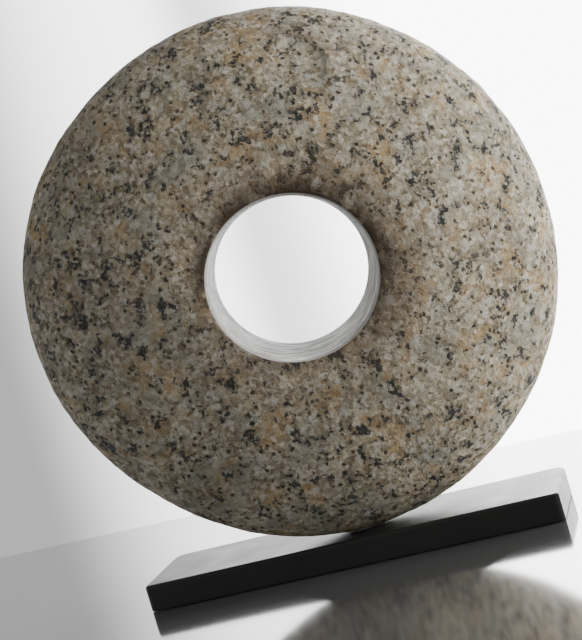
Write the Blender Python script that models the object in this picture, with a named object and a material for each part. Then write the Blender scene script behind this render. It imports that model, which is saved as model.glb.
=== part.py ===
"""A granite ring that turns on a slim black plinth.

The stone is a hand-worked, lens-shaped disc with a large round hole.  It stands
upright on a ground seat and turns about a vertical stud: the stud is screwed into
a sleeve bonded in the stone, runs in a flanged bush in the plinth and is held
from below by a washer, a wave spring and a lock nut behind a cover disc.

Frame: metres, +Z up, +X along the plinth, the ring's front looks along -Y.  The
origin is on the swivel axis, at the level of the surface that the feet stand on.
"""
import bpy
import bmesh
from math import cos, pi, radians, sin
from mathutils import Matrix, Vector

MM = 0.001
GAP = 0.3 * MM                      # clearance left between neighbouring solids

# Ring: an oblate disc of granite
RING_RADIUS = 124.3 * MM
RING_HALF_THICKNESS = 45.5 * MM     # where the faces would meet the axis, without hole or dip
RING_FULLNESS = 2.1                 # 2 is an ellipse; a higher number gives a fuller rim
HOLE_RADIUS = 37.3 * MM
HOLE_LIP = 1.0 * MM                 # rounding at each mouth of the hole
DIP_RADIUS = 58 * MM                # inside this radius the faces fall back towards the hole
DIP_DEPTH = 2.5 * MM                # how far they have fallen back at the hole
RING_YAW = radians(15)              # how far the ring is turned on the plinth, at rest
RIM_WAVES = ((2, 1.15 * MM, -43.5), (3, 0.63 * MM, 49), (4, 0.33 * MM, -8), (6, 0.17 * MM, 21))
HOLE_WAVES = ((2, 0.75 * MM, -6),)  # (waves in a turn, height, angle of a crest in degrees)
RING_HEIGHT = 124.5 * MM            # centre over the seat: 0.45 mm of the rim is ground off

# Plinth: a flat black bar on four thin feet
PLINTH_LENGTH = 204 * MM
PLINTH_WIDTH = 50.8 * MM
PLINTH_THICKNESS = 12.7 * MM
FRONT_CORNER = 2.5 * MM             # corner radii seen from above
REAR_CORNER = 6.0 * MM
TOP_ARRIS = 1.5 * MM                # rounding of the top edge
LOWER_ARRIS = 0.4 * MM              # the bottom edge is nearly sharp
PLINTH_MIDDLE = (-8.5 * MM, 6.6 * MM)    # measured from the swivel axis
FOOT_RADIUS = 6 * MM
FOOT_THICKNESS = 1.4 * MM
FOOT_PROUD = 0.3 * MM
FOOT_INSET = 12 * MM                # foot's centre, in from both sides of the plinth

# Swivel, listed from the top down
SLEEVE_RADIUS = 5.5 * MM
SLEEVE_LENGTH = 40 * MM
SLEEVE_INSET = 0.1 * MM             # the sleeve starts this far above the ground seat
SOCKET_SPARE = 2.0 * MM             # room over the sleeve, and of the stud below its top
DRILL_POINT = 0.6                   # height of the socket's cone over its radius
STUD_RADIUS = 4 * MM
STUD_BORE = STUD_RADIUS + GAP       # every bore that the stud passes through
STUD_PROUD = 0.1 * MM               # the stud ends this far below the nut
STUD_CHAMFER = 0.8 * MM
STUD_TOP_THREADS = 13               # turns of thread in the sleeve
THREAD_PITCH = 1.25 * MM
THREAD_DEPTH = 0.6 * MM
FRICTION_RADIUS = 9 * MM
FRICTION_THICKNESS = 0.8 * MM
FRICTION_RECESS = 1.0 * MM
BUSH_RADIUS = 5 * MM
BUSH_FLANGE_RADIUS = 8 * MM
BUSH_FLANGE = 0.8 * MM
WEB = 2.6 * MM                      # plinth left between the top recess and the pocket below
POCKET_RADIUS = 10 * MM
WASHER_RADIUS = 9 * MM
WASHER_THICKNESS = 0.8 * MM
SPRING_RADIUS = 7.5 * MM
SPRING_THICKNESS = 0.4 * MM
SPRING_WAVE = 0.25 * MM             # height of a wave above and below the spring's middle
NUT_FLATS = 13 * MM
NUT_HEX = 2.0 * MM
NUT_COLLAR = 1.1 * MM
NUT_COLLAR_RADIUS = 5.9 * MM
INSERT_RADIUS = 5.1 * MM
INSERT_THICKNESS = 0.7 * MM
INSERT_INSET = 0.1 * MM             # the insert starts this far above the collar's edge
BUSH_INSET = 0.1 * MM               # the bush ends this far below the recess floor
SMALL_CHAMFER = 0.15 * MM           # edges of the washers
MOULDED_CHAMFER = 0.2 * MM          # edges of the feet and the cover
CUT_MARGIN = 2 * MM                 # how far a cutter reaches past the face it opens
COVER_RADIUS = 12 * MM
COVER_THICKNESS = 1.0 * MM

# Levels above the table
UNDERSIDE = FOOT_PROUD
PLINTH_TOP = UNDERSIDE + PLINTH_THICKNESS
RECESS_FLOOR = PLINTH_TOP - FRICTION_RECESS
FRICTION_TOP = RECESS_FLOOR + GAP + FRICTION_THICKNESS
SEAT = FRICTION_TOP + GAP
RING_CENTRE = SEAT + RING_HEIGHT
POCKET_CEILING = RECESS_FLOOR - WEB
BUSH_UNDERSIDE = POCKET_CEILING - GAP - BUSH_FLANGE
WASHER_UNDERSIDE = BUSH_UNDERSIDE - GAP - WASHER_THICKNESS
SPRING_MIDDLE = WASHER_UNDERSIDE - GAP - SPRING_WAVE - SPRING_THICKNESS / 2
NUT_TOP = SPRING_MIDDLE - SPRING_WAVE - SPRING_THICKNESS / 2 - GAP
NUT_HEX_UNDERSIDE = NUT_TOP - NUT_HEX
NUT_UNDERSIDE = NUT_HEX_UNDERSIDE - NUT_COLLAR
STUD_UNDERSIDE = NUT_UNDERSIDE - STUD_PROUD
SLEEVE_UNDERSIDE = SEAT + SLEEVE_INSET
SLEEVE_TOP = SLEEVE_UNDERSIDE + SLEEVE_LENGTH
STUD_TOP = SLEEVE_TOP - SOCKET_SPARE
SOCKET_TOP = SLEEVE_TOP + SOCKET_SPARE    # where the drilled socket's cone begins

RING_STEPS = 80
SECTION_STEPS = 28
TURNED_STEPS = 32


def clear_scene():
    for thing in list(bpy.data.objects):
        bpy.data.objects.remove(thing)


def material(name, colour, roughness, metallic=0.0):
    made = bpy.data.materials.new(name)
    made.use_nodes = True
    shader = made.node_tree.nodes["Principled BSDF"]
    shader.inputs["Base Color"].default_value = (*colour, 1)
    shader.inputs["Roughness"].default_value = roughness
    shader.inputs["Metallic"].default_value = metallic
    return made


def finish(name, shape, look, parent=None):
    """Turn a bmesh into a named object with outward faces and smooth round sides."""
    bmesh.ops.recalc_face_normals(shape, faces=shape.faces)
    mesh = bpy.data.meshes.new(name)
    shape.to_mesh(mesh)
    shape.free()
    mesh.shade_smooth()
    mesh.set_sharp_from_angle(angle=radians(35))
    made = bpy.data.objects.new(name, mesh)
    bpy.context.collection.objects.link(made)
    if look:
        mesh.materials.append(look)
    made.parent = parent
    return made


def cut(target, cutter):
    """Take the cutter out of the target, and keep the cutter only as a guide."""
    cutter.hide_render = True
    cutter.display_type = "WIRE"
    boolean = target.modifiers.new(cutter.name, "BOOLEAN")
    boolean.operation = "DIFFERENCE"
    boolean.solver = "EXACT"
    boolean.object = cutter


def turned(name, outline, look, parent=None, steps=TURNED_STEPS, centre=(0, 0)):
    """Spin a closed (radius, height) outline about a vertical axis at centre."""
    shape = bmesh.new()
    corners = [shape.verts.new((radius, 0, height)) for radius, height in outline]
    edges = [shape.edges.new(pair) for pair in zip(corners, corners[1:])]
    if outline[0][0] > 0:
        edges.append(shape.edges.new((corners[-1], corners[0])))
    bmesh.ops.spin(shape, geom=corners + edges, cent=(0, 0, 0), axis=(0, 0, 1),
                   angle=2 * pi, steps=steps, use_merge=True)
    bmesh.ops.remove_doubles(shape, verts=shape.verts, dist=0.01 * MM)
    bmesh.ops.translate(shape, verts=shape.verts, vec=(*centre, 0))
    return finish(name, shape, look, parent)


def disc(bottom, top, radius, chamfer):
    """Outline of a solid disc with both edges chamfered."""
    return [(0, bottom), (radius - chamfer, bottom), (radius, bottom + chamfer),
            (radius, top - chamfer), (radius - chamfer, top), (0, top)]


def washer(bottom, top, inner, outer, chamfer):
    """Outline of a flat ring with its outer edges chamfered."""
    return [(inner, bottom), (outer - chamfer, bottom), (outer, bottom + chamfer),
            (outer, top - chamfer), (outer - chamfer, top), (inner, top)]


def waves(rules, angle):
    return sum(height * cos(count * (angle - radians(crest))) for count, height, crest in rules)


def superellipse(share):
    """The other coordinate of a point on a unit superellipse."""
    return (1 - abs(share) ** RING_FULLNESS) ** (1 / RING_FULLNESS)


def dip(radius):
    """How far a face has fallen back towards the hole at a radius."""
    return DIP_DEPTH * max(0.0, (DIP_RADIUS - radius) / (DIP_RADIUS - HOLE_RADIUS)) ** 2


def ring_section():
    """(radius, depth) once round the ring's section, from the rear mouth to the front."""
    mouth = HOLE_RADIUS + HOLE_LIP
    mouth_depth = RING_HALF_THICKNESS * superellipse(mouth / RING_RADIUS)
    section = []
    for step in range(SECTION_STEPS + 1):
        lean = sin(pi * (0.5 - step / SECTION_STEPS))
        radius = RING_RADIUS * superellipse(mouth_depth * lean / RING_HALF_THICKNESS)
        side = (lean > 0) - (lean < 0)
        section.append((radius, mouth_depth * lean - side * dip(radius)))
    wall_depth = mouth_depth - dip(mouth) - HOLE_LIP
    lip = [(HOLE_RADIUS + HOLE_LIP * (1 - cos(turn)), wall_depth + HOLE_LIP * sin(turn))
           for turn in (radians(60), radians(30), 0)]
    wall = [(HOLE_RADIUS, wall_depth * share) for share in (-0.5, 0, 0.5)]
    front_lip = [(radius, -depth) for radius, depth in lip]
    return section + front_lip + wall + lip[::-1]


def granite_ring(look, swivel):
    shape = bmesh.new()
    section = ring_section()
    loops = []
    for step in range(RING_STEPS):
        angle = 2 * pi * step / RING_STEPS
        rim, hole = waves(RIM_WAVES, angle), waves(HOLE_WAVES, angle)
        loop = []
        for radius, depth in section:
            outward = (radius - HOLE_RADIUS) / (RING_RADIUS - HOLE_RADIUS)
            true_radius = radius + hole * (1 - outward) + rim * outward
            place = (true_radius * cos(angle), depth, RING_CENTRE + true_radius * sin(angle))
            loop.append(shape.verts.new(place))
        loops.append(loop)
    for loop, following in zip(loops, loops[1:] + loops[:1]):
        for one in range(len(section)):
            two = (one + 1) % len(section)
            shape.faces.new((loop[one], loop[two], following[two], following[one]))
    ring = finish("granite_ring", shape, look, swivel)

    seat_cutter = bmesh.new()
    width, height = RING_RADIUS, 20 * MM
    under_seat = Matrix.Translation((0, 0, SEAT - height / 2)) @ Matrix.Diagonal((width, width, height, 1))
    bmesh.ops.create_cube(seat_cutter, size=1, matrix=under_seat)
    cut(ring, finish("seat_cutter", seat_cutter, None, swivel))
    socket_radius = SLEEVE_RADIUS + GAP
    below = SEAT - CUT_MARGIN
    socket = [(0, below), (socket_radius, below), (socket_radius, SOCKET_TOP),
              (0, SOCKET_TOP + DRILL_POINT * socket_radius)]
    cut(ring, turned("socket_cutter", socket, None, swivel))


def rounded_bar(length, width, middle, bottom, top):
    """A bar with upright corner rounds, a softened top edge and a nearly sharp bottom edge."""
    shape = bmesh.new()
    outline = []
    corner_steps = 6
    for quarter, (side_x, side_y) in enumerate(((1, 1), (-1, 1), (-1, -1), (1, -1))):
        corner = REAR_CORNER if side_y > 0 else FRONT_CORNER
        centre = Vector((middle[0] + side_x * (length / 2 - corner),
                         middle[1] + side_y * (width / 2 - corner), bottom))
        for step in range(corner_steps + 1):
            angle = pi / 2 * (quarter + step / corner_steps)
            spoke = Vector((cos(angle), sin(angle), 0)) * corner
            outline.append(shape.verts.new(centre + spoke))
    base = shape.faces.new(outline)
    raised = bmesh.ops.extrude_face_region(shape, geom=[base])
    lifted = [item for item in raised["geom"] if isinstance(item, bmesh.types.BMVert)]
    bmesh.ops.translate(shape, verts=lifted, vec=(0, 0, top - bottom))
    for height, arris, segments in ((top, TOP_ARRIS, 4), (bottom, LOWER_ARRIS, 2)):
        level = [edge for edge in shape.edges
                 if all(abs(vertex.co.z - height) < GAP / 3 for vertex in edge.verts)]
        bmesh.ops.bevel(shape, geom=level, offset=arris, segments=segments, profile=0.5, affect="EDGES")
    return shape


def foot_places():
    for end, side_x in (("left", -1), ("right", 1)):
        for face, side_y in (("front", -1), ("rear", 1)):
            x = PLINTH_MIDDLE[0] + side_x * (PLINTH_LENGTH / 2 - FOOT_INSET)
            y = PLINTH_MIDDLE[1] + side_y * (PLINTH_WIDTH / 2 - FOOT_INSET)
            yield f"{face}_{end}", (x, y)


def plinth(look):
    blank = rounded_bar(PLINTH_LENGTH, PLINTH_WIDTH, PLINTH_MIDDLE, UNDERSIDE, PLINTH_TOP)
    bar = finish("plinth", blank, look)
    bore = BUSH_RADIUS + GAP
    cover_ledge = UNDERSIDE + COVER_THICKNESS + GAP
    below, above = UNDERSIDE - CUT_MARGIN, PLINTH_TOP + CUT_MARGIN
    stepped_bore = [(0, below), (COVER_RADIUS + GAP, below), (COVER_RADIUS + GAP, cover_ledge),
                    (POCKET_RADIUS, cover_ledge), (POCKET_RADIUS, POCKET_CEILING),
                    (bore, POCKET_CEILING), (bore, RECESS_FLOOR),
                    (FRICTION_RADIUS + GAP, RECESS_FLOOR), (FRICTION_RADIUS + GAP, above), (0, above)]
    cut(bar, turned("stepped_bore_cutter", stepped_bore, None, steps=40))
    recess_top = FOOT_THICKNESS + GAP
    for place, centre in foot_places():
        recess = disc(-CUT_MARGIN, recess_top, FOOT_RADIUS + GAP, MOULDED_CHAMFER)
        cut(bar, turned(f"foot_cutter_{place}", recess, None, centre=centre))


def feet(look):
    for place, centre in foot_places():
        turned(f"foot_{place}", disc(0, FOOT_THICKNESS, FOOT_RADIUS, MOULDED_CHAMFER), look, centre=centre)


def anchor_sleeve(look, swivel):
    """Threaded sleeve bonded in the stone, with bonding grooves round its outside."""
    groove, grooves = 0.4 * MM, 6
    half_floor, half_mouth = 2 * groove, 3 * groove
    spacing = SLEEVE_LENGTH / (grooves + 1)
    outline = [(STUD_BORE, SLEEVE_UNDERSIDE), (SLEEVE_RADIUS, SLEEVE_UNDERSIDE)]
    for number in range(1, grooves + 1):
        middle = SLEEVE_UNDERSIDE + number * spacing
        outline += [(SLEEVE_RADIUS, middle - half_mouth), (SLEEVE_RADIUS - groove, middle - half_floor),
                    (SLEEVE_RADIUS - groove, middle + half_floor), (SLEEVE_RADIUS, middle + half_mouth)]
    outline += [(SLEEVE_RADIUS, SLEEVE_TOP), (STUD_BORE, SLEEVE_TOP)]
    turned("anchor_sleeve", outline, look, swivel, steps=24)


def thread(bottom, top):
    """Outline of the V grooves between two heights of the stud."""
    turns = int((top - bottom) / THREAD_PITCH)
    for turn in range(turns):
        height = bottom + turn * THREAD_PITCH
        yield STUD_RADIUS, height
        yield STUD_RADIUS - THREAD_DEPTH, height + THREAD_PITCH / 2
    yield STUD_RADIUS, bottom + turns * THREAD_PITCH


def swivel_stud(look, swivel):
    """Plain journal in the bush, threaded below for the nut and above for the sleeve."""
    end_radius = STUD_RADIUS - STUD_CHAMFER
    upper_end = STUD_TOP - STUD_CHAMFER
    outline = [(0, STUD_UNDERSIDE), (end_radius, STUD_UNDERSIDE)]
    outline += thread(STUD_UNDERSIDE + STUD_CHAMFER, NUT_TOP)
    outline += thread(upper_end - STUD_TOP_THREADS * THREAD_PITCH, upper_end)
    outline += [(end_radius, STUD_TOP), (0, STUD_TOP)]
    turned("swivel_stud", outline, look, swivel, steps=24)


def flange_bush(look):
    sleeve_top = RECESS_FLOOR - BUSH_INSET
    flange_top = BUSH_UNDERSIDE + BUSH_FLANGE
    outline = [(STUD_BORE, BUSH_UNDERSIDE), (BUSH_FLANGE_RADIUS, BUSH_UNDERSIDE),
               (BUSH_FLANGE_RADIUS, flange_top), (BUSH_RADIUS, flange_top),
               (BUSH_RADIUS, sleeve_top), (STUD_BORE, sleeve_top)]
    turned("flange_bush", outline, look)


def wave_spring(look, swivel):
    """A washer bent into three waves, which keeps a light steady pull on the stud."""
    shape = bmesh.new()
    inner = STUD_BORE + GAP
    half = SPRING_THICKNESS / 2
    section = ((inner, -half), (SPRING_RADIUS, -half), (SPRING_RADIUS, half), (inner, half))
    steps = 48
    loops = []
    for step in range(steps):
        angle = 2 * pi * step / steps
        middle = SPRING_MIDDLE + SPRING_WAVE * cos(3 * angle)
        loops.append([shape.verts.new((radius * cos(angle), radius * sin(angle), middle + height))
                      for radius, height in section])
    for loop, following in zip(loops, loops[1:] + loops[:1]):
        for one in range(4):
            two = (one + 1) % 4
            shape.faces.new((loop[one], loop[two], following[two], following[one]))
    finish("wave_spring", shape, look, swivel)


def lock_nut(look, swivel):
    """A thin hexagon nut whose round collar, pointing down, holds the nylon ring."""
    shape = bmesh.new()
    steps = 36

    def hexagon(angle):
        from_flat = (angle + pi / 6) % (pi / 3) - pi / 6
        return NUT_FLATS / 2 / cos(from_flat)

    bevel = 0.5 * MM
    chamfer_radius = NUT_FLATS / 2
    collar_bore = INSERT_RADIUS + GAP
    levels = ((collar_bore, NUT_UNDERSIDE), (NUT_COLLAR_RADIUS, NUT_UNDERSIDE),
              (NUT_COLLAR_RADIUS, NUT_HEX_UNDERSIDE), ("hexagon", NUT_HEX_UNDERSIDE),
              ("hexagon", NUT_TOP - bevel), (chamfer_radius, NUT_TOP), (STUD_BORE, NUT_TOP),
              (STUD_BORE, NUT_HEX_UNDERSIDE + GAP), (collar_bore, NUT_HEX_UNDERSIDE + GAP))
    loops = []
    for step in range(steps):
        angle = 2 * pi * step / steps
        loop = []
        for radius, height in levels:
            reach = hexagon(angle) if radius == "hexagon" else radius
            loop.append(shape.verts.new((reach * cos(angle), reach * sin(angle), height)))
        loops.append(loop)
    for loop, following in zip(loops, loops[1:] + loops[:1]):
        for one in range(len(levels)):
            two = (one + 1) % len(levels)
            shape.faces.new((loop[one], loop[two], following[two], following[one]))
    finish("lock_nut", shape, look, swivel)


def build():
    clear_scene()
    swivel = bpy.data.objects.new("swivel_axis", None)
    bpy.context.collection.objects.link(swivel)
    swivel.rotation_euler.z = RING_YAW

    granite_ring(material("granite", (0.46, 0.41, 0.35), 0.5), swivel)
    anchor_sleeve(material("sleeve_steel", (0.55, 0.55, 0.56), 0.4, 0.9), swivel)
    swivel_stud(material("stainless_steel", (0.62, 0.62, 0.63), 0.3, 1.0), swivel)
    turned("thrust_washer", washer(WASHER_UNDERSIDE, WASHER_UNDERSIDE + WASHER_THICKNESS, STUD_BORE,
                                   WASHER_RADIUS, SMALL_CHAMFER),
           material("washer_steel", (0.60, 0.60, 0.60), 0.35, 1.0), swivel)
    wave_spring(material("spring_steel", (0.25, 0.25, 0.27), 0.35, 1.0), swivel)
    lock_nut(material("nut_steel", (0.58, 0.57, 0.55), 0.35, 1.0), swivel)
    insert_bottom = NUT_UNDERSIDE + INSERT_INSET
    turned("lock_nut_insert", washer(insert_bottom, insert_bottom + INSERT_THICKNESS, STUD_BORE,
                                     INSERT_RADIUS, SMALL_CHAMFER),
           material("insert_nylon", (0.10, 0.22, 0.55), 0.5), swivel)

    plinth(material("black_lacquer", (0.012, 0.012, 0.014), 0.15, 0.0))
    turned("friction_washer", washer(RECESS_FLOOR + GAP, FRICTION_TOP, STUD_BORE,
                                     FRICTION_RADIUS, SMALL_CHAMFER),
           material("washer_nylon", (0.03, 0.03, 0.03), 0.5))
    flange_bush(material("bush_bronze", (0.60, 0.42, 0.20), 0.35, 0.9))
    turned("underside_cover", disc(UNDERSIDE, UNDERSIDE + COVER_THICKNESS, COVER_RADIUS,
                                    MOULDED_CHAMFER),
           material("cover_plastic", (0.02, 0.02, 0.02), 0.6))
    feet(material("foot_rubber", (0.015, 0.015, 0.015), 0.85))


build()
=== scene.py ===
"""Looks for the granite ring that turns on a slim black plinth.

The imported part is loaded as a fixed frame, in metres.  The stone is built again here
as a fine mesh with its worked surface, and every other piece keeps its CAD shape and
gets a procedural material.
"""
from math import cos, hypot, pi, radians, sin

import bmesh
import bpy
from mathutils import Matrix, Vector, noise


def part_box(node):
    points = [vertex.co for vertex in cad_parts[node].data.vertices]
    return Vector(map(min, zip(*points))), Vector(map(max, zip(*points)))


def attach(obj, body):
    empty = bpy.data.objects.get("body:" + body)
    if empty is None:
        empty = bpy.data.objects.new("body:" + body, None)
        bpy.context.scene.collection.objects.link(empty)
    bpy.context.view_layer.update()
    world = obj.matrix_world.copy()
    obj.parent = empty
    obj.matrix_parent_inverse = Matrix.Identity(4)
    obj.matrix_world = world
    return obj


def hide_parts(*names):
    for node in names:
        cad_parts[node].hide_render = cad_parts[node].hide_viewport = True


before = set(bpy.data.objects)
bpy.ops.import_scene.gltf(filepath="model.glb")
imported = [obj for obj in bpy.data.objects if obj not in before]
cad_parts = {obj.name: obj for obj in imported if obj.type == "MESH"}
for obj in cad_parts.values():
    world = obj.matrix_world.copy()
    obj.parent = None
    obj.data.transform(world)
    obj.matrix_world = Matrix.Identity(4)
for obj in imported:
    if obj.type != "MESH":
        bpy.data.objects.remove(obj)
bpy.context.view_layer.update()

MM = 0.001

# Camera: it leans to one side, so the plinth climbs to the right of the picture
CAMERA_PLACE = Vector((0.182, -0.654, 0.1696))
CAMERA_YAW = radians(15.714)
CAMERA_PITCH = radians(-2.515)
CAMERA_ROLL = radians(-16.626)
CAMERA_LENS = 81.5625
CAMERA_SHIFT = (0.00659, -0.0768)

# Stone: the same shape as the CAD ring.  The waves are (count, height, crest in degrees).
RING_RADIUS = 124.3 * MM
RING_HALF_THICKNESS = 45.5 * MM
RING_FULLNESS = 2.1
HOLE_RADIUS = 37.3 * MM
HOLE_LIP = 1.0 * MM
DIP_RADIUS = 58 * MM
DIP_DEPTH = 2.5 * MM
RING_YAW = radians(15)
RIM_WAVES = ((2, 1.15 * MM, -43.5), (3, 0.63 * MM, 49), (4, 0.33 * MM, -8), (6, 0.17 * MM, 21))
HOLE_WAVES = ((2, 0.75 * MM, -6),)
RING_HEIGHT = 124.5 * MM
SOCKET_SPARE = 2.0 * MM
DRILL_POINT = 0.6                   # height of the drilled cone as a share of its radius
SEAT_CUT_RADIUS = 60 * MM
SEAT_CUT_DEPTH = 15 * MM

# Plinth: the same bar as in the CAD
FRONT_CORNER = 2.5 * MM
REAR_CORNER = 6.0 * MM
TOP_ARRIS = 1.5 * MM
LOWER_ARRIS = 0.4 * MM
POCKET_RADIUS = 10 * MM
BUSH_BORE = 5.3 * MM
WEB = 2.6 * MM
GAP = 0.3 * MM
CUT_MARGIN = 2 * MM
FEET = ("foot_front_left", "foot_front_right", "foot_rear_left", "foot_rear_right")

# How finely the two visible pieces are meshed
RING_STEPS = 640
FACE_POINTS = 112
LIP_POINTS = 5
WALL_POINTS = 13
SWEEP_STEPS = 2000                  # points tried along the section before they are spaced evenly
CORNER_STEPS = 16
ARRIS_STEPS = 8
CUTTER_STEPS = 48
STONE_SHARP = radians(40)
PLINTH_SHARP = radians(35)
TINY = 0.01 * MM
HOLDING = 0.4 * MM                  # a loop this far beyond a rounding keeps the flat part flat

# Room: a table whose far edge is cut at a slant, a backdrop that faces the camera, two lamps
TABLE_HALF_WIDTH = 1.6
TABLE_NEAR = -2.2
TABLE_FAR_LEFT = 0.299
TABLE_FAR_RIGHT = 0.050
BACKDROP_DISTANCE = 1.5
BACKDROP_HALF_WIDTH = 1.3
BACKDROP_LOW = -0.7
BACKDROP_HIGH = 1.3
GLOW_CHANGES = (                    # from one place across the backdrop to another, from one glow
    (-0.46, -0.14, 0.6, 4.6),       # to another; the three are added
    (-0.12, -0.02, 0.0, -2.3),
    (-0.03, 0.26, 0.0, 7.0),
)
ROOM_TINT = (1.0, 0.99, 0.975, 1)
ROOM_STRENGTH = 0.295
LIT_POINT = (0, 0, 0.13)            # near the middle of the ring; both lamps face it


# ---------------------------------------------------------------- camera and stage

def make_camera():
    forward = Vector((-sin(CAMERA_YAW) * cos(CAMERA_PITCH),
                      cos(CAMERA_YAW) * cos(CAMERA_PITCH), sin(CAMERA_PITCH)))
    level = Vector((cos(CAMERA_YAW), sin(CAMERA_YAW), 0))
    upright = level.cross(forward)
    right = cos(CAMERA_ROLL) * level + sin(CAMERA_ROLL) * upright
    up = cos(CAMERA_ROLL) * upright - sin(CAMERA_ROLL) * level
    turn = Matrix((right, up, -forward)).transposed().to_4x4()
    lens = bpy.data.cameras.new("camera")
    lens.lens = CAMERA_LENS
    lens.shift_x, lens.shift_y = CAMERA_SHIFT
    camera = bpy.data.objects.new("camera", lens)
    camera.matrix_world = Matrix.Translation(CAMERA_PLACE) @ turn
    bpy.context.collection.objects.link(camera)
    bpy.context.scene.camera = camera


def square_lamp(name, place, side, power, colour):
    """A square lamp that faces the ring."""
    lamp = bpy.data.lights.new(name, "AREA")
    lamp.shape = "RECTANGLE"
    lamp.size, lamp.size_y = side, side
    lamp.energy = power
    lamp.color = colour
    made = bpy.data.objects.new(name, lamp)
    direction = Vector(LIT_POINT) - Vector(place)
    turn = direction.to_track_quat("-Z", "Y").to_matrix().to_4x4()
    made.matrix_world = Matrix.Translation(place) @ turn
    bpy.context.collection.objects.link(made)
    return made


def stage_sheet(name, corners, look):
    """A flat sheet that isn't part of the object."""
    mesh = bpy.data.meshes.new(name)
    mesh.from_pydata(corners, [], [tuple(range(len(corners)))])
    mesh.materials.append(look)
    made = bpy.data.objects.new(name, mesh)
    bpy.context.collection.objects.link(made)
    return made


# ---------------------------------------------------------------- building materials

class Look:
    """One material, and short calls that add its nodes."""

    def __init__(self, name, **constants):
        self.material = bpy.data.materials.new(name)
        self.material.use_nodes = True
        self.tree = self.material.node_tree
        self.shader = self.tree.nodes["Principled BSDF"]
        for socket, value in constants.items():
            self.shader.inputs[socket.replace("_", " ")].default_value = value
        self.place = self.tree.nodes.new("ShaderNodeTexCoord").outputs["Object"]

    def put(self, socket, value):
        """Link another socket to this one, or set a number or a colour on it."""
        if isinstance(value, bpy.types.NodeSocket):
            self.tree.links.new(value, socket)
        elif isinstance(value, tuple) and len(value) == 3 and socket.type == "RGBA":
            socket.default_value = (*value, 1)
        else:
            socket.default_value = value

    def node(self, kind, settings=None, **inputs):
        """Add a node; its inputs are named with _ for a space."""
        made = self.tree.nodes.new("ShaderNode" + kind)
        for name, value in (settings or {}).items():
            setattr(made, name, value)
        for name, value in inputs.items():
            self.put(made.inputs[name.replace("_", " ")], value)
        return made

    def math(self, operation, one, two):
        made = self.node("Math", {"operation": operation})
        for socket, value in zip(made.inputs, (one, two)):
            self.put(socket, value)
        return made.outputs[0]

    def times(self, one, two):
        return self.math("MULTIPLY", one, two)

    def plus(self, one, two):
        return self.math("ADD", one, two)

    def vector_math(self, operation, one, two):
        made = self.node("VectorMath", {"operation": operation})
        self.put(made.inputs[0], one)
        self.put(made.inputs[1], two)
        return made.outputs[0]

    def scaled(self, vector, factors):
        return self.vector_math("MULTIPLY", vector, factors)

    def kept(self, name):
        """A number that was kept at the points of the mesh."""
        return self.node("Attribute", {"attribute_name": name}).outputs["Fac"]

    def noise(self, vector, size, detail=2.0, rough=0.5, output="Fac"):
        """Noise whose features are about size metres across."""
        made = self.node("TexNoise", Vector=vector, Scale=1 / size, Detail=detail, Roughness=rough)
        return made.outputs[output]

    def cells(self, vector, size, output="Color"):
        """Cells about size metres across."""
        return self.node("TexVoronoi", Vector=vector, Scale=1 / size).outputs[output]

    def specks(self, vector, size, radius, chance, ragged, soft):
        """Ragged round grains: their cover, random tints and halos.

        They stand about size metres apart, chance says how many of them show, and radius
        and soft are shares of size.  A halo runs a quarter of size beyond its grain.
        """
        grains = self.node("TexVoronoi", Vector=self.wobbled(vector, 2 * ragged, ragged), Scale=1 / size)
        away, tints = grains.outputs["Distance"], grains.outputs["Color"]
        picked = self.math("LESS_THAN", self.blue(tints), chance)
        cover = self.times(self.step(away, radius - soft, radius + soft, 1.0, 0.0), picked)
        halo = self.times(self.step(away, radius, radius + 0.25, 1.0, 0.0), picked)
        return cover, tints, halo

    def wobbled(self, vector, size, reach, detail=2.0):
        """The same place moved by up to about reach metres, to make outlines ragged."""
        shake = self.noise(vector, size, detail, output="Color")
        centred = self.vector_math("SUBTRACT", shake, (0.5, 0.5, 0.5))
        moved = self.scaled(centred, (4 * reach, 4 * reach, 4 * reach))
        return self.vector_math("ADD", vector, moved)

    def red(self, colour):
        return self.node("SeparateColor", Color=colour).outputs["Red"]

    def blue(self, colour):
        return self.node("SeparateColor", Color=colour).outputs["Blue"]

    def step(self, value, low, high, bottom=0.0, top=1.0):
        """Smooth change from bottom to top while value goes from low to high."""
        made = self.node("MapRange", {"interpolation_type": "SMOOTHSTEP"}, Value=value)
        for name, number in (("From Min", low), ("From Max", high), ("To Min", bottom), ("To Max", top)):
            self.put(made.inputs[name], number)
        return made.outputs["Result"]

    def ramp(self, value, stops):
        """Colours between the stops, which are (value, colour)."""
        made = self.node("ValToRGB", Fac=value)
        band = made.color_ramp
        for place, colour in stops[2:]:
            band.elements.new(place)
        for element, (place, colour) in zip(band.elements, sorted(stops)):
            element.position = place
            element.color = (*colour, 1)
        return made.outputs["Color"]

    def mix(self, share, one, two, blend="MIX"):
        made = self.node("Mix", {"data_type": "RGBA", "blend_type": blend})
        for index, value in ((0, share), (6, one), (7, two)):
            self.put(made.inputs[index], value)
        return made.outputs[2]

    def laid(self, under, over, share, strength):
        """The colour over laid on another, at most as strongly as strength."""
        return self.mix(self.times(share, strength), under, over)

    def shaded(self, colour, factor):
        """The colour made darker or brighter by a factor."""
        grey = self.node("CombineColor", Red=factor, Green=factor, Blue=factor).outputs["Color"]
        return self.mix(1.0, colour, grey, "MULTIPLY")

    def bump(self, height, distance):
        made = self.node("Bump", Height=height, Distance=distance, Strength=1.0)
        return made.outputs["Normal"]

    def use(self, **outputs):
        """Link what was made to the shader and hand the material over."""
        for name, value in outputs.items():
            self.put(self.shader.inputs[name.replace("_", " ")], value)
        return self.material


def paint(node, look):
    """Give a CAD node a material in place of its packed one."""
    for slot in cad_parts[node].material_slots:
        slot.material = look


# ---------------------------------------------------------------- materials

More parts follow.
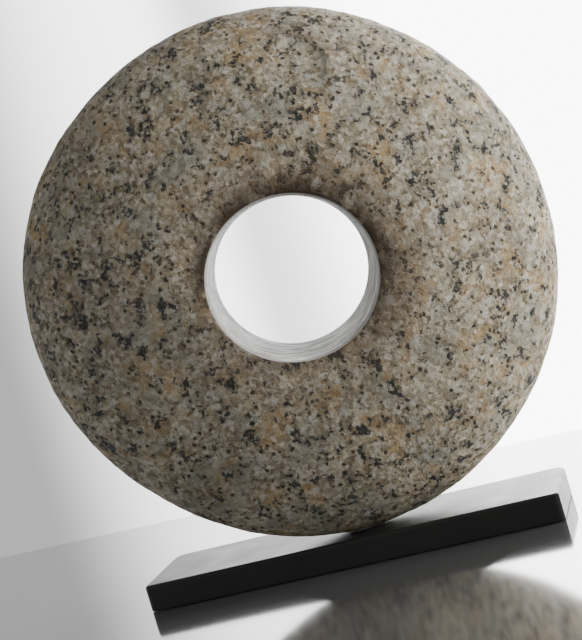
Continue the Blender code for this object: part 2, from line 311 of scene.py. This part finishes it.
# Colours in the stone.  The tones and the two kinds of mica are (value, colour) stops.
GROUND_TONES = (
    (0.27, (0.150, 0.119, 0.079)),
    (0.41, (0.290, 0.248, 0.178)),
    (0.54, (0.400, 0.353, 0.263)),
    (0.67, (0.490, 0.443, 0.346)),
    (0.81, (0.660, 0.620, 0.522)),
)
OCHRE = (0.405, 0.272, 0.122)
GREY_GREEN = (0.345, 0.342, 0.282)
RUST = (0.430, 0.255, 0.105)
FELDSPAR = (0.560, 0.540, 0.490)
HALO_BROWN = (0.150, 0.112, 0.066)
FINE_MICA = (0.085, 0.070, 0.050)
BROWN_MICA = ((0.0, (0.026, 0.027, 0.026)), (0.6, (0.050, 0.047, 0.043)), (1.0, (0.110, 0.085, 0.058)))
BLACK_MICA = ((0.0, (0.020, 0.023, 0.024)), (0.6, (0.040, 0.044, 0.047)), (1.0, (0.115, 0.116, 0.114)))
# Dirt and painted shadow in the scars of the lost flakes
SCAR_DIRT_AND_SHADOW = (0.125, 0.088, 0.056)
# Pale broken stone and a painted highlight on the ledges of the lost flakes
LEDGE_STONE_AND_HIGHLIGHT = (0.600, 0.560, 0.470)
STAIN_BROWN = (0.150, 0.104, 0.064)
# Painted shade with brown dirt just outside the hole's edge
EDGE_SHADE_AND_DIRT = (0.056, 0.041, 0.028)
WALL_GREY = (0.188, 0.185, 0.177)
WALL_STREAK = (0.060, 0.059, 0.060)
# Painted highlight on the rounded edge of the hole
LIP_HIGHLIGHT = (0.620, 0.600, 0.560)


def minerals(look, place, shifted, mottle, small_grain):
    """The stone between the dark grains: soft-edged minerals, slow drifts and pale feldspar."""
    grains = look.node("TexVoronoi", {"feature": "SMOOTH_F1"}, Scale=1 / (2.0 * MM), Smoothness=0.15,
                       Vector=look.wobbled(place, 1.2 * MM, 0.6 * MM, 3.0)).outputs["Color"]
    tone = look.plus(look.times(look.red(grains), 0.42), look.times(mottle, 0.68))
    ground = look.ramp(tone, GROUND_TONES)
    ground = look.shaded(ground, look.step(small_grain, 0.0, 1.0, 0.91, 1.09))

    ochre = look.step(look.noise(place, 15 * MM, 3.0, 0.6), 0.48, 0.70)
    ochre = look.times(ochre, look.step(look.blue(grains), 0.2, 0.8, 0.35, 1.0))
    ground = look.laid(ground, OCHRE, ochre, 0.82)
    cool = look.step(look.noise(shifted, 17 * MM, 3.0, 0.6), 0.50, 0.70)
    ground = look.laid(ground, GREY_GREEN, cool, 0.62)
    flecks = look.specks(place, 2.1 * MM, 0.40, 0.07, 0.5 * MM, 0.12)[0]
    ground = look.laid(ground, RUST, flecks, 0.42)

    pale = look.specks(place, 4.6 * MM, 0.40, 0.30, 1.2 * MM, 0.12)[0]
    pale = look.times(pale, look.step(mottle, 0.34, 0.60, 0.15, 0.95))
    ground = look.mix(pale, ground, FELDSPAR)
    drift = look.noise(place, 30 * MM, 2.0)
    return look.shaded(ground, look.step(drift, 0.35, 0.65, 0.90, 1.11))


def with_mica(look, place, shifted, ground):
    """Dark mica: flakes that gather in ragged clusters, single grains with halos, and dust.

    Gives the colour, and the cover of the clusters.
    """
    crowd = look.plus(look.noise(place, 6.8 * MM, 2.0, 0.55),
                      look.step(look.noise(shifted, 34 * MM, 2.0), 0.38, 0.64, 0.0, 0.05))
    ragged = look.noise(look.wobbled(place, 1.4 * MM, 0.3 * MM), 2.0 * MM, 3.0, 0.52)
    clusters = look.step(look.plus(crowd, look.times(ragged, 0.76)), 0.995, 1.080)
    flakes = look.cells(look.wobbled(place, 1.2 * MM, 0.40 * MM), 1.3 * MM)
    clusters = look.times(clusters, look.step(look.blue(flakes), 0.05, 0.30, 0.55, 1.0))
    single, single_tint, halo = look.specks(place, 2.3 * MM, 0.40, 0.085, 0.5 * MM, 0.10)
    dust = look.specks(place, 1.05 * MM, 0.38, 0.10, 0.25 * MM, 0.12)[0]

    near_cluster = look.times(look.step(crowd, 0.52, 0.62), 0.55)
    colour = look.laid(ground, HALO_BROWN, look.math("MAXIMUM", halo, near_cluster), 0.45)
    colour = look.laid(colour, FINE_MICA, dust, 0.46)
    colour = look.laid(colour, look.ramp(look.red(single_tint), BROWN_MICA), single, 0.90)
    colour = look.laid(colour, look.ramp(look.red(flakes), BLACK_MICA), clusters, 0.93)
    return colour, clusters


def with_scars(look, mottle, colour):
    """Dirt and painted shadow in the flake scars, pale stone and a painted highlight on their ledges."""
    scar = look.kept("scar")
    # dirt and painted shadow in the scar beyond each ledge
    dirt_and_shadow = look.times(look.step(scar, 0.10, 0.85), look.step(mottle, 0.30, 0.60, 1.0, 0.40))
    colour = look.laid(colour, SCAR_DIRT_AND_SHADOW, dirt_and_shadow, 0.70)
    # pale broken stone and a painted highlight on each ledge
    return look.mix(look.step(scar, -0.80, -0.10, 0.60, 0.0), colour, LEDGE_STONE_AND_HIGHLIGHT)


def with_stains_and_shade(look, place, outward, colour):
    """A brown stain on the upper right of the hole, and painted shade with brown dirt just outside its
    edge.
    """
    where = look.node("SeparateXYZ", Vector=place).outputs
    aside = look.plus(where["X"], look.times(where["Z"], 0.6))
    stain = look.times(look.step(outward, 4 * MM, 30 * MM, 1.0, 0.0),
                       look.step(aside, -25 * MM, 25 * MM, 0.35, 1.0))
    blotches = look.step(look.noise(place, 12 * MM, 3.0, 0.6), 0.34, 0.62, 0.45, 1.0)
    colour = look.laid(colour, STAIN_BROWN, look.times(stain, blotches), 0.64)
    # painted shade with dirt just outside the hole's edge, strongest towards the top
    patchy = look.step(look.noise(place, 9 * MM, 3.0, 0.6), 0.34, 0.56, 0.22, 1.0)
    rim_shade_and_dirt = look.times(look.step(outward, 1.0 * MM, 11 * MM, 1.0, 0.0), patchy)
    rim_shade_and_dirt = look.times(rim_shade_and_dirt, look.step(where["Z"], -40 * MM, 15 * MM, 0.42, 1.0))
    return look.laid(colour, EDGE_SHADE_AND_DIRT, rim_shade_and_dirt, 0.92)


def hole_wall(look, place, shifted, outward, streaks, colour):
    """The ground wall of the hole: silvery, streaked, with painted light on its right side and a painted
    highlight on its edge.
    """
    wall = look.shaded(WALL_GREY, look.step(streaks, 0.36, 0.62, 0.58, 1.45))
    across = look.node("SeparateXYZ", Vector=place).outputs["X"]
    # painted light: the wall is made brighter towards its right side
    wall = look.shaded(wall, look.step(across, -30 * MM, 30 * MM, 0.84, 2.60))
    wall = look.mix(0.12, wall, colour)
    long_streaks = look.noise(look.scaled(shifted, (0.36, 1.0, 0.36)), 6 * MM, 2.0, 0.5)
    wall = look.laid(wall, WALL_STREAK, look.step(long_streaks, 0.62, 0.69), 0.75)
    # painted highlight along the rounded edge where the wall meets the face
    return look.laid(wall, LIP_HIGHLIGHT, look.step(outward, 0.01 * MM, 0.15 * MM), 0.90)


def granite():
    """Grey-tan granite: ground minerals, black mica, ochre stains and a ground hole wall."""
    look = Look("granite_stone", IOR=1.5, Specular_IOR_Level=0.22)
    place = look.node("Mapping", {"vector_type": "TEXTURE"}, Vector=look.place,
                      Location=ring_centre(), Rotation=(0, 0, RING_YAW)).outputs["Vector"]
    shifted = look.vector_math("ADD", place, (0.31, 0.17, 0.05))
    outward = look.kept("outward")
    mottle = look.noise(place, 2.2 * MM, 4.0, 0.66)
    small_grain = look.red(look.cells(look.wobbled(place, 0.8 * MM, 0.3 * MM), 1.15 * MM))
    streaks = look.noise(look.scaled(place, (0.32, 1.0, 0.32)), 4.8 * MM, 3.0, 0.66)
    on_wall = look.step(outward, 0.55 * MM, 0.95 * MM, 1.0, 0.0)

    ground = minerals(look, place, shifted, mottle, small_grain)
    colour, clusters = with_mica(look, place, shifted, ground)
    colour = with_scars(look, mottle, colour)
    colour = with_stains_and_shade(look, place, outward, colour)
    wall = hole_wall(look, place, shifted, outward, streaks, colour)
    colour = look.mix(on_wall, colour, wall)

    rough = look.step(small_grain, 0.0, 1.0, 0.52, 0.66)
    rough = look.math("SUBTRACT", rough, look.times(clusters, 0.16))
    rubbed = look.step(streaks, 0.36, 0.62, 0.13, -0.04)
    rough = look.plus(rough, look.times(on_wall, rubbed))

    height = look.plus(look.times(small_grain, 0.45), look.times(clusters, -0.9))
    height = look.plus(height, look.times(look.noise(place, 2.2 * MM, 4.0, 0.65), 2.2))
    height = look.times(height, look.step(outward, 0.4 * MM, 2.0 * MM, 0.08, 1.0))
    scored = look.times(look.times(streaks, on_wall), 0.5)
    normal = look.bump(look.plus(height, scored), 0.24 * MM)
    return look.use(Base_Color=colour, Roughness=rough, Normal=normal)


def lacquer():
    """Black gloss: a hard clear surface with a little orange peel, dust and fine scratches."""
    look = Look("black_gloss", IOR=1.5, Specular_IOR_Level=0.45)
    place = look.place
    cloud = look.noise(place, 24 * MM, 3.0, 0.6)
    dust = look.step(look.noise(place, 0.5 * MM, 2.0, 0.7), 0.60, 0.80)
    tint = look.ramp(cloud, ((0.3, (0.0150, 0.0148, 0.0148)), (0.7, (0.0220, 0.0214, 0.0205))))
    tint = look.laid(tint, (0.060, 0.058, 0.054), dust, 0.35)
    hairs = look.noise(look.scaled(place, (0.05, 1.0, 1.0)), 0.35 * MM, 2.0, 0.6)
    scratch = look.step(hairs, 0.62, 0.72)
    rough = look.step(cloud, 0.3, 0.7, 0.31, 0.39)
    rough = look.plus(rough, look.times(scratch, 0.08))
    peel = look.noise(place, 3.5 * MM, 2.0, 0.5)
    normal = look.bump(look.plus(peel, look.times(scratch, -0.05)), 0.02 * MM)
    return look.use(Base_Color=tint, Roughness=rough, Normal=normal)


def turned_metal(name, tint, dull, rough, stretch=(1.0, 1.0, 40.0), spots=0.0, spot_tint=None):
    """Machined metal: fine tool lines, slow changes of tone, and spots where there are any."""
    look = Look(name, Metallic=1.0, IOR=1.5)
    place = look.place
    lines = look.noise(look.scaled(place, stretch), 4.0 * MM, 3.0, 0.6)
    cloud = look.noise(place, 5 * MM, 3.0, 0.6)
    colour = look.mix(look.step(cloud, 0.3, 0.7, 0.0, 0.8), tint, dull)
    colour = look.shaded(colour, look.step(lines, 0.3, 0.7, 0.86, 1.08))
    rough_value = look.step(lines, 0.3, 0.7, rough - 0.07, rough + 0.09)
    height = lines
    if spots:
        pores = look.cells(look.wobbled(place, 0.5 * MM, 0.1 * MM), 0.45 * MM)
        pore = look.math("LESS_THAN", look.red(pores), spots)
        colour = look.laid(colour, spot_tint, pore, 0.8)
        height = look.math("SUBTRACT", height, pore)
    return look.use(Base_Color=colour, Roughness=rough_value, Normal=look.bump(height, 0.02 * MM))


def moulded(name, tint, worn, rough, grain, depth, sheen=0.0):
    """Moulded plastic or rubber: a fine grained skin with worn, paler high spots."""
    look = Look(name, IOR=1.46, Sheen_Weight=sheen, Sheen_Roughness=0.5)
    place = look.place
    skin = look.cells(look.wobbled(place, grain, 0.3 * grain), grain, output="Distance")
    cloud = look.noise(place, 4 * MM, 3.0, 0.6)
    colour = look.mix(look.step(cloud, 0.42, 0.72, 0.0, 0.6), tint, worn)
    speck = look.step(look.noise(place, 0.4 * MM, 2.0, 0.7), 0.62, 0.78)
    colour = look.laid(colour, worn, speck, 0.4)
    rough_value = look.step(cloud, 0.3, 0.7, rough - 0.06, rough + 0.06)
    return look.use(Base_Color=colour, Roughness=rough_value, Normal=look.bump(skin, depth))


# ---------------------------------------------------------------- stone

def waves(rules, angle):
    """Height of all the waves together at an angle round the ring."""
    return sum(height * cos(count * (angle - radians(crest))) for count, height, crest in rules)


def evenly(points, count):
    """count points at equal spacing along a line of points, both ends among them."""
    reached = [0.0]
    for (x0, y0), (x1, y1) in zip(points, points[1:]):
        reached.append(reached[-1] + hypot(x1 - x0, y1 - y0))
    spaced = []
    after = 1
    for number in range(count):
        target = reached[-1] * number / (count - 1)
        while after < len(points) - 1 and reached[after] < target:
            after += 1
        share = (target - reached[after - 1]) / (reached[after] - reached[after - 1])
        (x0, y0), (x1, y1) = points[after - 1], points[after]
        spaced.append((x0 + share * (x1 - x0), y0 + share * (y1 - y0)))
    return spaced


def superellipse(share):
    """Height of the section's outline where its width is share, both from 0 to 1."""
    return (1 - abs(share) ** RING_FULLNESS) ** (1 / RING_FULLNESS)


def dip(radius):
    """How far a face has fallen back towards the hole at a radius."""
    return DIP_DEPTH * max(0.0, (DIP_RADIUS - radius) / (DIP_RADIUS - HOLE_RADIUS)) ** 2


def ring_section():
    """(radius, depth) once round the section: rear mouth, rim, front mouth, wall of the hole."""
    mouth = HOLE_RADIUS + HOLE_LIP
    mouth_depth = RING_HALF_THICKNESS * superellipse(mouth / RING_RADIUS)
    outer = []
    for step in range(SWEEP_STEPS + 1):
        lean = sin(pi * (0.5 - step / SWEEP_STEPS))
        radius = RING_RADIUS * superellipse(mouth_depth * lean / RING_HALF_THICKNESS)
        side = (lean > 0) - (lean < 0)
        outer.append((radius, mouth_depth * lean - side * dip(radius)))
    section = evenly(outer, FACE_POINTS)
    wall_depth = mouth_depth - dip(mouth) - HOLE_LIP
    lip = []
    for step in range(1, LIP_POINTS + 1):
        turn = pi / 2 * (1 - step / LIP_POINTS)
        lip.append((HOLE_RADIUS + HOLE_LIP * (1 - cos(turn)), wall_depth + HOLE_LIP * sin(turn)))
    wall = [(HOLE_RADIUS, wall_depth * (2 * step / WALL_POINTS - 1)) for step in range(1, WALL_POINTS)]
    front_lip = [(radius, -depth) for radius, depth in lip]
    return section + front_lip + wall + lip[::-1]


# Flakes came off the front face near the top, and each left a low curved ledge.  For each one:
# the middle of the standing part (angle in degrees, radius), its radius, the way the ledge
# faces (in degrees), the depth, and how far the scar runs before it is level again.
DEEPEST_FLAKE = 1.4 * MM
FLAKES = (
    (73, 92 * MM, 13.4 * MM, 38, DEEPEST_FLAKE, 12 * MM),
    (46, 100 * MM, 10 * MM, 50, 0.8 * MM, 7 * MM),
    (60, 106 * MM, 7 * MM, 80, 0.7 * MM, 5 * MM),
    (24, 104 * MM, 8 * MM, 40, 0.6 * MM, 6 * MM),
    (112, 101 * MM, 9 * MM, 85, 0.6 * MM, 6 * MM),
)
LEDGE_WIDTH = 1.5 * MM

# Unevenness of the worked faces: the height, size and shift of each noise
WORKED = (
    (0.38 * MM, 38 * MM, (0, 0, 0)),
    (0.30 * MM, 13 * MM, (4, 0, 9)),
    (0.22 * MM, 5.5 * MM, (0, 7, 2)),
    (0.10 * MM, 2.8 * MM, (0, 0, 0)),
)
CHIP_DEPTH = 0.35 * MM
CHIP_SHIFT = (3, 3, 3)


def smooth_step(value, low, high):
    """From 0 to 1 without a kink while value goes from low to high."""
    share = min(max((value - low) / (high - low), 0.0), 1.0)
    return share * share * (3 - 2 * share)


def uneven(point, height, size, shift=(0, 0, 0)):
    """Noise of a height whose features are about size metres across."""
    return height * noise.noise(point / size + Vector(shift))


def flake_scar(point):
    """Depth of lost flakes at a point, and its look: 1 for scar dirt and painted shadow, -1 for a
    painted ledge highlight.
    """
    if point.y > 0:
        return 0.0, 0.0
    ragged = uneven(point, 1.6 * MM, 6 * MM) + uneven(point, 0.5 * MM, 2 * MM)
    depth, look = 0.0, 0.0
    for angle, radius, standing, facing, deepest, run in FLAKES:
        across = point.x - radius * cos(radians(angle))
        along = point.z - radius * sin(radians(angle))
        reach = hypot(across, along) + TINY
        beyond = reach + ragged - standing
        if not -LEDGE_WIDTH < beyond < run:
            continue
        turned_to = (across * cos(radians(facing)) + along * sin(radians(facing))) / reach
        share = smooth_step(turned_to, 0.0, 0.6) * deepest / DEEPEST_FLAKE
        rising = 1 - smooth_step(beyond, LEDGE_WIDTH, run)
        depth = max(depth, DEEPEST_FLAKE * share * rising * smooth_step(beyond, 0, LEDGE_WIDTH))
        # the scar beyond the ledge gets dirt and painted shadow
        shadowed_dirt_share = rising * smooth_step(beyond, 0.7 * LEDGE_WIDTH, 1.3 * LEDGE_WIDTH)
        # the ledge itself gets pale stone and a painted highlight
        pale_and_highlit_ledge = smooth_step(beyond, -LEDGE_WIDTH, 0)
        pale_and_highlit_ledge *= 1 - smooth_step(beyond, 0.5 * LEDGE_WIDTH, LEDGE_WIDTH)
        look += share * (shadowed_dirt_share - pale_and_highlit_ledge)
    return depth, look


def relief(point, outward):
    """Height of the worked stone over its smooth shape."""
    on_face = smooth_step(outward, 0.3 * MM, 4.0 * MM)
    worked = sum(uneven(point, *rule) for rule in WORKED)
    everywhere = uneven(point, 0.10 * MM, 24 * MM)
    on_edge = smooth_step(outward, 0.2 * MM, 1.0 * MM) * (1 - smooth_step(outward, 1.0 * MM, 3.5 * MM))
    chipped = max(0.0, uneven(point, CHIP_DEPTH, 4 * MM, CHIP_SHIFT)) * on_edge
    return on_face * (worked - flake_scar(point)[0]) + everywhere - chipped


def ring_centre():
    """Middle of the hole, at the CAD's height over the ground seat."""
    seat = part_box("granite_ring")[0].z
    return Vector((0, 0, seat + RING_HEIGHT))


def turned_cutter(outline, centre=(0, 0)):
    """Spin a (radius, height) outline that begins and ends on the axis, about a vertical line."""
    shape = bmesh.new()
    corners = [shape.verts.new((reach, 0, height)) for reach, height in outline]
    edges = [shape.edges.new(pair) for pair in zip(corners, corners[1:])]
    bmesh.ops.spin(shape, geom=corners + edges, cent=(0, 0, 0), axis=(0, 0, 1),
                   angle=2 * pi, steps=CUTTER_STEPS, use_merge=True)
    bmesh.ops.remove_doubles(shape, verts=shape.verts, dist=TINY)
    bmesh.ops.recalc_face_normals(shape, faces=shape.faces)
    bmesh.ops.translate(shape, verts=shape.verts, vec=(*centre, 0))
    mesh = bpy.data.meshes.new("cutter")
    shape.to_mesh(mesh)
    shape.free()
    return bpy.data.objects.new("cutter", mesh)


def carved(mesh, cutters, sharp_angle):
    """The mesh with the cutters taken out, smooth except at real edges."""
    rough = bpy.data.objects.new("rough", mesh)
    for thing in (rough, *cutters):
        bpy.context.collection.objects.link(thing)
    for cutter in cutters:
        cut = rough.modifiers.new("cut", "BOOLEAN")
        cut.operation = "DIFFERENCE"
        cut.solver = "EXACT"
        cut.object = cutter
    bpy.context.view_layer.update()
    evaluated = rough.evaluated_get(bpy.context.evaluated_depsgraph_get())
    made = bpy.data.meshes.new_from_object(evaluated)
    for thing in (rough, *cutters):
        bpy.data.objects.remove(thing)
    made.materials.clear()
    made.shade_smooth()
    made.set_sharp_from_angle(angle=sharp_angle)
    return made


def show(name, mesh, look, body, node):
    """Put a finished mesh in the scene in place of a CAD node."""
    mesh.materials.append(look)
    made = bpy.data.objects.new(name, mesh)
    bpy.context.collection.objects.link(made)
    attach(made, body)
    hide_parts(node)


def seat_and_socket():
    """Cutter for the ground seat and for the socket that holds the threaded sleeve."""
    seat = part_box("granite_ring")[0].z
    sleeve_low, sleeve_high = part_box("anchor_sleeve")
    radius = (sleeve_high.x - sleeve_low.x) / 2 + GAP
    top = sleeve_high.z + SOCKET_SPARE
    below = seat - SEAT_CUT_DEPTH
    return turned_cutter(((0, below), (SEAT_CUT_RADIUS, below), (SEAT_CUT_RADIUS, seat), (radius, seat),
                          (radius, top), (0, top + DRILL_POINT * radius)))


def stone_mesh():
    """The ring in its own frame, with its centre at the origin and its hole along Y.

    Each point keeps how far out from the hole it is, and how it looks where a flake is lost.
    """
    section = ring_section()
    points, faces, outward = [], [], []
    count = len(section)
    for step in range(RING_STEPS):
        angle = 2 * pi * step / RING_STEPS
        rim, hole = waves(RIM_WAVES, angle), waves(HOLE_WAVES, angle)
        for radius, depth in section:
            share = (radius - HOLE_RADIUS) / (RING_RADIUS - HOLE_RADIUS)
            reach = radius + hole * (1 - share) + rim * share
            points.append((reach * cos(angle), depth, reach * sin(angle)))
            outward.append(radius - HOLE_RADIUS)
        following = (step + 1) % RING_STEPS
        for one in range(count):
            two = (one + 1) % count
            faces.append((step * count + one, step * count + two,
                          following * count + two, following * count + one))
    mesh = bpy.data.meshes.new("stone")
    mesh.from_pydata(points, [], faces)
    mesh.update()
    heights = [relief(vertex.co, far) for vertex, far in zip(mesh.vertices, outward)]
    scars = [flake_scar(vertex.co)[1] for vertex in mesh.vertices]
    moved = [vertex.co + normal.vector * height
             for vertex, normal, height in zip(mesh.vertices, mesh.vertex_normals, heights)]
    for vertex, place in zip(mesh.vertices, moved):
        vertex.co = place
    for name, values in (("outward", outward), ("scar", scars)):
        kept = mesh.attributes.new(name, "FLOAT", "POINT")
        kept.data.foreach_set("value", values)
    mesh.update()
    return mesh


def make_stone():
    mesh = stone_mesh()
    mesh.transform(Matrix.Translation(ring_centre()) @ Matrix.Rotation(RING_YAW, 4, "Z"))
    finished = carved(mesh, [seat_and_socket()], STONE_SHARP)
    show("stone", finished, granite(), "ring", "granite_ring")


# ---------------------------------------------------------------- plinth

def rounded_outline(low, high, inset):
    """Points round the plinth seen from above, drawn in by inset."""
    points = []
    for quarter, (side_x, side_y) in enumerate(((1, 1), (-1, 1), (-1, -1), (1, -1))):
        corner = REAR_CORNER if side_y > 0 else FRONT_CORNER
        middle_x = high.x - corner if side_x > 0 else low.x + corner
        middle_y = high.y - corner if side_y > 0 else low.y + corner
        radius = corner - inset
        for step in range(-1, CORNER_STEPS + 2):
            turn = min(max(step, 0), CORNER_STEPS) / CORNER_STEPS
            angle = pi / 2 * (quarter + turn)
            beyond = HOLDING * ((step > CORNER_STEPS) - (step < 0))
            points.append((middle_x + radius * cos(angle) - beyond * sin(angle),
                           middle_y + radius * sin(angle) + beyond * cos(angle)))
    return points


def edge_levels(arris, height, way):
    """Insets and heights from a flat face over its rounded edge, going up (1) or down (-1)."""
    levels = [(arris + HOLDING, height)]
    for step in range(ARRIS_STEPS + 1):
        turn = pi / 2 * step / ARRIS_STEPS
        levels.append((arris * (1 - sin(turn)), height + way * arris * (1 - cos(turn))))
    levels.append((0.0, height + way * (arris + HOLDING)))
    return levels


def plinth_mesh(low, high):
    """A bar with round corners and rounded edges, closed at top and bottom."""
    levels = edge_levels(LOWER_ARRIS, low.z, 1) + edge_levels(TOP_ARRIS, high.z, -1)[::-1]
    points, faces = [], []
    for inset, level in levels:
        points += [(x, y, level) for x, y in rounded_outline(low, high, inset)]
    count = len(points) // len(levels)
    for layer in range(len(levels) - 1):
        for one in range(count):
            two = (one + 1) % count
            faces.append((layer * count + one, layer * count + two,
                          (layer + 1) * count + two, (layer + 1) * count + one))
    faces.append(tuple(reversed(range(count))))
    faces.append(tuple(range(len(points) - count, len(points))))
    mesh = bpy.data.meshes.new("plinth_bar")
    mesh.from_pydata(points, [], faces)
    mesh.update()
    return mesh


def plinth_cutters(low, high):
    """The stepped bore of the swivel and the four recesses of the feet."""
    cover_low, cover_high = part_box("underside_cover")
    washer_low, washer_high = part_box("friction_washer")
    cover_reach = (cover_high.x - cover_low.x) / 2 + GAP
    washer_reach = (washer_high.x - washer_low.x) / 2 + GAP
    recess_floor = washer_low.z - GAP
    ceiling = recess_floor - WEB
    ledge = cover_high.z + GAP
    below, above = low.z - CUT_MARGIN, high.z + CUT_MARGIN
    yield turned_cutter(((0, below), (cover_reach, below), (cover_reach, ledge), (POCKET_RADIUS, ledge),
                         (POCKET_RADIUS, ceiling), (BUSH_BORE, ceiling), (BUSH_BORE, recess_floor),
                         (washer_reach, recess_floor), (washer_reach, above), (0, above)))
    for foot in FEET:
        foot_low, foot_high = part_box(foot)
        reach = (foot_high.x - foot_low.x) / 2 + GAP
        top = foot_high.z + GAP
        centre = ((foot_low.x + foot_high.x) / 2, (foot_low.y + foot_high.y) / 2)
        yield turned_cutter(((0, below), (reach, below), (reach, top), (0, top)), centre)


def make_plinth():
    low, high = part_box("plinth")
    finished = carved(plinth_mesh(low, high), list(plinth_cutters(low, high)), PLINTH_SHARP)
    show("plinth_bar", finished, lacquer(), "base", "plinth")


# ---------------------------------------------------------------- stage

def glossy_table():
    """A pale glossy table top that mirrors the object."""
    look = Look("pale_table", Metallic=0.88, IOR=1.7, Specular_IOR_Level=0.5)
    cloud = look.noise(look.place, 180 * MM, 3.0, 0.5)
    tint = look.ramp(cloud, ((0.3, (0.545, 0.548, 0.555)), (0.7, (0.605, 0.606, 0.610))))
    rough = look.step(cloud, 0.3, 0.7, 0.06, 0.11)
    return look.use(Base_Color=tint, Roughness=rough)


def glowing_wall():
    """A plain backdrop that is brightest on the side of the window."""
    look = Look("backdrop", Base_Color=(0.0, 0.0, 0.0, 1), Roughness=1.0, Specular_IOR_Level=0.0)
    across = look.node("SeparateXYZ", Vector=look.place).outputs["X"]
    glow = 0.0
    for change in GLOW_CHANGES:
        glow = look.plus(glow, look.step(across, *change))
    return look.use(Emission_Color=(1.0, 0.995, 0.985), Emission_Strength=glow)


def make_table():
    corners = ((-TABLE_HALF_WIDTH, TABLE_FAR_LEFT, 0), (-TABLE_HALF_WIDTH, TABLE_NEAR, 0),
               (TABLE_HALF_WIDTH, TABLE_NEAR, 0), (TABLE_HALF_WIDTH, TABLE_FAR_RIGHT, 0))
    stage_sheet("table", corners, glossy_table())


def make_backdrop():
    corners = ((-BACKDROP_HALF_WIDTH, 0, BACKDROP_LOW), (BACKDROP_HALF_WIDTH, 0, BACKDROP_LOW),
               (BACKDROP_HALF_WIDTH, 0, BACKDROP_HIGH), (-BACKDROP_HALF_WIDTH, 0, BACKDROP_HIGH))
    wall = stage_sheet("backdrop", corners, glowing_wall())
    forward = Vector((-sin(CAMERA_YAW), cos(CAMERA_YAW), 0))
    turn = Matrix.Rotation(CAMERA_YAW, 4, "Z")
    wall.matrix_world = Matrix.Translation(forward * BACKDROP_DISTANCE) @ turn


def make_lights():
    world = bpy.data.worlds.new("room")
    world.use_nodes = True
    sky = world.node_tree.nodes["Background"]
    sky.inputs["Color"].default_value = ROOM_TINT
    sky.inputs["Strength"].default_value = ROOM_STRENGTH
    bpy.context.scene.world = world
    window = square_lamp("window", (1.59, 0.17, 0.30), 1.3, 73, (1.0, 0.995, 0.98))
    window.visible_glossy = False       # or its outline shows in the gloss of the plinth
    square_lamp("left_fill", (-1.6, -0.35, -0.1), 0.9, 5.5, (0.94, 0.97, 1.0))


# ---------------------------------------------------------------- everything

def make_looks():
    paint("anchor_sleeve", turned_metal("sleeve_steel", (0.55, 0.55, 0.56), (0.36, 0.35, 0.33), 0.42,
                                        spots=0.08, spot_tint=(0.32, 0.30, 0.26)))
    paint("swivel_stud", turned_metal("stainless", (0.62, 0.62, 0.63), (0.50, 0.50, 0.50), 0.28))
    paint("thrust_washer", turned_metal("washer_steel", (0.60, 0.60, 0.60), (0.47, 0.47, 0.46), 0.33,
                                        stretch=(6.0, 6.0, 6.0)))
    paint("wave_spring", turned_metal("spring_steel", (0.24, 0.25, 0.30), (0.20, 0.16, 0.13), 0.32))
    paint("lock_nut", turned_metal("zinc_plate", (0.60, 0.59, 0.55), (0.46, 0.45, 0.42), 0.36,
                                   spots=0.05, spot_tint=(0.40, 0.39, 0.36)))
    paint("flange_bush", turned_metal("sintered_bronze", (0.60, 0.40, 0.18), (0.42, 0.28, 0.13), 0.40,
                                      spots=0.16, spot_tint=(0.10, 0.06, 0.03)))
    paint("lock_nut_insert", moulded("blue_nylon", (0.07, 0.17, 0.48), (0.16, 0.28, 0.58), 0.42,
                                     0.5 * MM, 0.02 * MM))
    paint("friction_washer", moulded("black_nylon", (0.022, 0.022, 0.024), (0.055, 0.055, 0.056), 0.48,
                                     0.4 * MM, 0.02 * MM))
    paint("underside_cover", moulded("cover_plastic", (0.020, 0.020, 0.021), (0.050, 0.050, 0.050), 0.58,
                                     0.7 * MM, 0.05 * MM))
    rubber = moulded("foot_rubber", (0.014, 0.014, 0.014), (0.060, 0.058, 0.055), 0.82,
                     0.6 * MM, 0.04 * MM, sheen=0.1)
    for foot in FEET:
        paint(foot, rubber)


make_camera()
make_table()
make_backdrop()
make_lights()
make_looks()
make_plinth()
make_stone()
